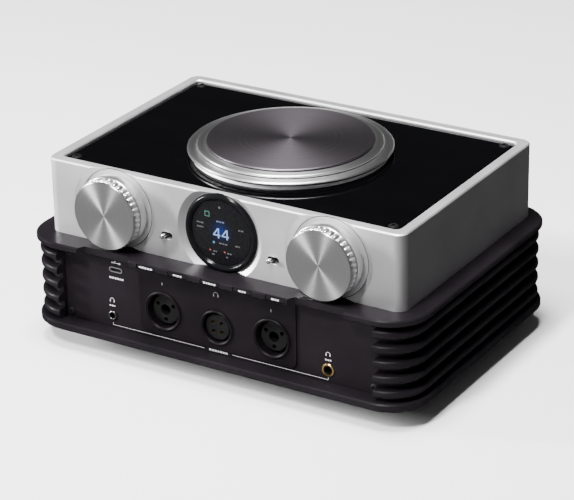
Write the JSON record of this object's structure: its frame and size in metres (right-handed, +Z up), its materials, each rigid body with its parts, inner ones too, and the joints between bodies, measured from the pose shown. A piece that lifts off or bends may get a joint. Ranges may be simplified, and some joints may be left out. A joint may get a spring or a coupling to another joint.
{
  "type": "headphone amplifier",
  "caption": "Desktop headphone amplifier: bright casing with glass lid, turned disc, spun knobs and round display on a black ribbed chassis with front sockets.",
  "frame": {"origin": "on the table, under the middle of the whole object's box", "axes": "+Z up, the front with the knobs faces -Y, +X to the right seen from the front"},
  "size_m": [0.256, 0.185, 0.12],
  "materials": {
    "satin_aluminium": "bead-blasted satin",
    "spun_aluminium": "spun, bright",
    "turned_disc": "circular brushed, dark",
    "black_glass": "gloss",
    "gloss_black": "gloss",
    "black_satin_metal": "fine satin",
    "black_screw": "blackened",
    "black_moulding": "moulded",
    "foot_rubber": "matt",
    "key_black": "satin",
    "steel_parts": "brushed",
    "toggle_chrome": "polished",
    "gilt_metal": "gilt",
    "port_black": "gloss",
    "circuit_board": "solder resist"
  },
  "bodies": {
    "chassis": {"upper_casing": "satin_aluminium", "disc_top_plate": "turned_disc", "disc_middle_ring": "turned_disc", "disc_outer_ring": "turned_disc", "disc_base_ring": "turned_disc", "top_glass": "black_glass", "display_lens": "black_glass", "display_bezel": "gloss_black", "chassis_bottom_plate": "black_satin_metal", "chassis_top_plate": "black_satin_metal", "left_heatsink": "black_satin_metal", "right_heatsink": "black_satin_metal", "front_panel": "black_satin_metal", "socket_plate": "black_satin_metal", "rear_panel": "black_satin_metal", "combo_shells": "black_satin_metal", "xlr_shell": "black_satin_metal", "rear_xlr_shells": "black_satin_metal", "lid_screws": "black_screw", "panel_screws": "black_screw", "rear_screws": "black_screw", "disc_gap_plate": "black_screw", "combo_inserts": "black_moulding", "combo_latches": "black_moulding", "xlr_insert": "black_moulding", "small_jack": "black_moulding", "mid_jack": "black_moulding", "rear_xlr_inserts": "black_moulding", "phono_cores": "black_moulding", "power_inlet": "black_moulding", "display_module": "black_moulding", "capacitor_bank": "black_moulding", "toggle_switches": "black_moulding", "key_switches": "black_moulding", "feet": "foot_rubber", "port_shells": "steel_parts", "foot_screws": "steel_parts", "power_inlet_pin": "steel_parts", "board_standoffs": "steel_parts", "knob_controls": "steel_parts", "power_module": "steel_parts", "mid_jack_ring": "gilt_metal", "phono_shells": "gilt_metal", "xlr_contacts": "gilt_metal", "port_tongues": "port_black", "main_board": "circuit_board", "upper_board": "circuit_board"},
    "left_knob": {"left_knob_body": "spun_aluminium", "left_knob_face": "spun_aluminium", "left_knob_shaft": "steel_parts"},
    "right_knob": {"right_knob_body": "spun_aluminium", "right_knob_face": "spun_aluminium", "right_knob_shaft": "steel_parts"},
    "left_toggle": {"left_toggle_lever": "toggle_chrome"},
    "right_toggle": {"right_toggle_lever": "toggle_chrome"},
    "front_key_1": {"key_1": "key_black"},
    "front_key_2": {"key_2": "key_black"},
    "front_key_3": {"key_3": "key_black"},
    "front_key_4": {"key_4": "key_black"},
    "front_key_5": {"key_5": "key_black"}
  },
  "joints": [
    {"name": "selector_turn", "type": "hinge", "parent": "chassis", "child": "left_knob", "pos_m": [-0.0701, -0.08, 0.0898], "axis": [0, -1, 0], "continuous": true},
    {"name": "volume_turn", "type": "hinge", "parent": "chassis", "child": "right_knob", "pos_m": [0.0701, -0.08, 0.0898], "axis": [0, -1, 0], "range_deg": [-150, 150]},
    {"name": "left_toggle_throw", "type": "hinge", "parent": "chassis", "child": "left_toggle", "pos_m": [-0.0351, -0.0694, 0.0812], "axis": [0, 0, 1], "range_deg": [0, 18]},
    {"name": "right_toggle_throw", "type": "hinge", "parent": "chassis", "child": "right_toggle", "pos_m": [0.0351, -0.0694, 0.0812], "axis": [0, 0, 1], "range_deg": [0, 18]},
    {"name": "key_1_press", "type": "slide", "parent": "chassis", "child": "front_key_1", "axis": [0, 1, 0], "range_m": [0, 0.0006], "stiffness_N_per_m": 600},
    {"name": "key_2_press", "type": "slide", "parent": "chassis", "child": "front_key_2", "axis": [0, 1, 0], "range_m": [0, 0.0006], "stiffness_N_per_m": 600},
    {"name": "key_3_press", "type": "slide", "parent": "chassis", "child": "front_key_3", "axis": [0, 1, 0], "range_m": [0, 0.0006], "stiffness_N_per_m": 600},
    {"name": "key_4_press", "type": "slide", "parent": "chassis", "child": "front_key_4", "axis": [0, 1, 0], "range_m": [0, 0.0006], "stiffness_N_per_m": 600},
    {"name": "key_5_press", "type": "slide", "parent": "chassis", "child": "front_key_5", "axis": [0, 1, 0], "range_m": [0, 0.0006], "stiffness_N_per_m": 600}
  ]
}
